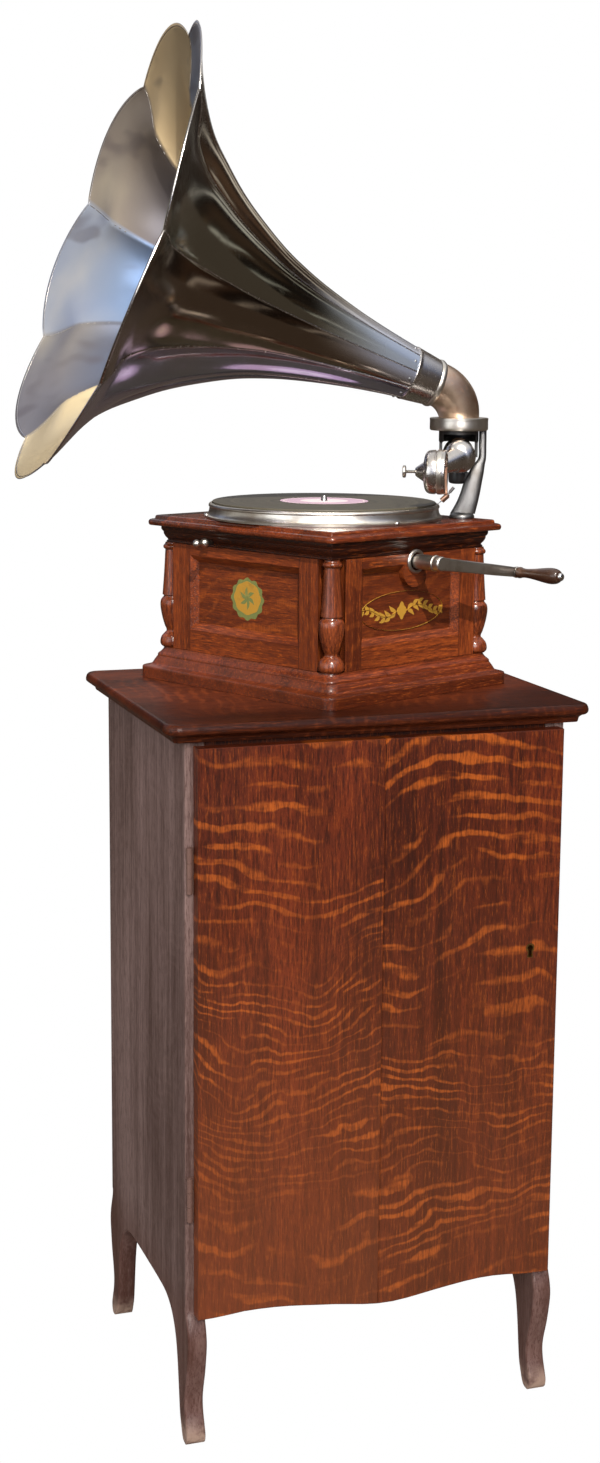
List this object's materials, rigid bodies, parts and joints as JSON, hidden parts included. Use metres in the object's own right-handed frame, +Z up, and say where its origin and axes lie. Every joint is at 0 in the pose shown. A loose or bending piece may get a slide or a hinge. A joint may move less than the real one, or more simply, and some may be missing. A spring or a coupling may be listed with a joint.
{
  "type": "gramophone cabinet",
  "caption": "Spring-driven gramophone with an outside flower horn, standing turned on an oak record cabinet with a door and short cabriole legs.",
  "frame": {"origin": "middle of the bounding box on the floor", "axes": "+Z up, -Y out of the cabinet's door, +X to the right seen from the front"},
  "size_m": [0.5706, 0.5062, 1.4956],
  "materials": {
    "oak": "polished quartersawn oak",
    "side_oak": "worn oak, vertical grain",
    "dark_oak": "dark stained oak",
    "pale_wood": "bare softwood",
    "grip_wood": "dark turned wood, polished",
    "nickel": "nickel plate, slightly warm",
    "worn_nickel": "nickel plate worn to copper brown",
    "steel": "bare steel",
    "brass": "aged brass",
    "black_metal": "black lacquer",
    "felt": "felt",
    "shellac": "pressed disc, fine grooves",
    "mica": "amber mica"
  },
  "bodies": {
    "cabinet": {"left_side_board": "side_oak", "right_side_board": "side_oak", "back_panel": "dark_oak", "bottom_board": "dark_oak", "middle_shelf": "dark_oak", "front_top_rail": "dark_oak", "cabinet_top": "oak", "upper_record_rack": "pale_wood", "lower_record_rack": "pale_wood", "lower_hinge_case_leaf": "brass", "upper_hinge_case_leaf": "brass", "lower_hinge_pin": "steel", "upper_hinge_pin": "steel", "plinth_moulding": "oak", "crank_wall": "oak", "right_wall": "oak", "far_wall": "oak", "regulator_wall": "oak", "column_front_left": "oak", "column_front_right": "oak", "column_back_right": "oak", "column_back_left": "oak", "cornice": "dark_oak", "machine_top": "oak", "turntable_bezel": "nickel", "motor_frame": "steel", "crank_escutcheon": "nickel", "horn_bracket": "nickel"},
    "door": {"door_left_board": "oak", "door_right_board": "oak", "door_lower_batten": "dark_oak", "door_upper_batten": "dark_oak", "keyhole_bush": "brass", "lock_case": "brass", "lower_hinge_door_leaf": "brass", "upper_hinge_door_leaf": "brass"},
    "lock": {"lock_bolt": "steel"},
    "platter": {"spindle": "steel", "turntable": "steel", "felt_mat": "felt", "record": "shellac"},
    "barrel": {"spring_barrel": "brass"},
    "governor": {"governor": "brass"},
    "winder": {"winding_shaft": "steel", "crank_arm": "nickel", "crank_grip_cap": "nickel"},
    "winder_gear": {"winding_gear": "steel"},
    "grip": {"crank_grip": "grip_wood"},
    "regulator": {"speed_regulator": "nickel"},
    "horn": {"horn_elbow": "worn_nickel", "horn_collar": "nickel", "horn": "nickel"},
    "yoke": {"arm_yoke": "black_metal"},
    "arm": {"tone_arm": "nickel", "soundbox_case": "nickel", "diaphragm": "mica", "adjusting_screw": "nickel", "stylus_bar": "nickel", "needle": "steel", "needle_screw": "steel"}
  },
  "joints": [
    {"name": "door_hinge", "type": "hinge", "parent": "cabinet", "child": "door", "pos_m": [-0.15635, -0.19781, 0.456], "axis": [0, 0, -1], "range_deg": [0, 115]},
    {"name": "lock_bolt_slide", "type": "slide", "parent": "door", "child": "lock", "axis": [1, 0, 0], "range_m": [0, 0.01]},
    {"name": "turntable_spin", "type": "hinge", "parent": "cabinet", "child": "platter", "pos_m": [0.06105, 0.02029, 0.9783], "axis": [0, 0, -1], "continuous": true},
    {"name": "barrel_turn", "type": "hinge", "parent": "cabinet", "child": "barrel", "pos_m": [0.09201, -0.03366, 0.8883], "axis": [0, 0, -1], "continuous": true},
    {"name": "governor_spin", "type": "hinge", "parent": "cabinet", "child": "governor", "pos_m": [0.04997, 0.04381, 0.9033], "axis": [0.9045, 0.4264, 0], "continuous": true},
    {"name": "winding_turn", "type": "hinge", "parent": "cabinet", "child": "winder", "pos_m": [0.12378, -0.10105, 0.9333], "axis": [-0.4264, 0.9045, 0], "continuous": true},
    {"name": "winding_gear_turn", "type": "hinge", "parent": "cabinet", "child": "winder_gear", "pos_m": [0.09201, -0.03366, 0.9183], "axis": [0, 0, -1], "continuous": true},
    {"name": "crank_grip_spin", "type": "hinge", "parent": "winder", "child": "grip", "pos_m": [0.25981, -0.11906, 0.91709], "axis": [-0.4264, 0.9045, 0], "continuous": true},
    {"name": "regulator_slide", "type": "slide", "parent": "cabinet", "child": "regulator", "axis": [0.9045, 0.4264, 0], "range_m": [0, 0.005]},
    {"name": "horn_swivel", "type": "hinge", "parent": "cabinet", "child": "horn", "pos_m": [0.2067, -0.01663, 1.0783], "axis": [0, 0, 1], "continuous": true},
    {"name": "arm_swing", "type": "hinge", "parent": "cabinet", "child": "yoke", "pos_m": [0.2067, -0.01663, 1.0683], "axis": [0, 0, -1], "range_deg": [0, 61]},
    {"name": "arm_lift", "type": "hinge", "parent": "yoke", "child": "arm", "pos_m": [0.2067, -0.01663, 1.0443], "axis": [-0.948, 0.3183, 0], "range_deg": [-1.7, 9]}
  ],
  "couplings": [
    {"joint": "barrel_turn", "follows": "turntable_spin", "ratio": -0.34783},
    {"joint": "governor_spin", "follows": "turntable_spin", "ratio": 12},
    {"joint": "winding_gear_turn", "follows": "winding_turn", "ratio": 0.33333}
  ]
}
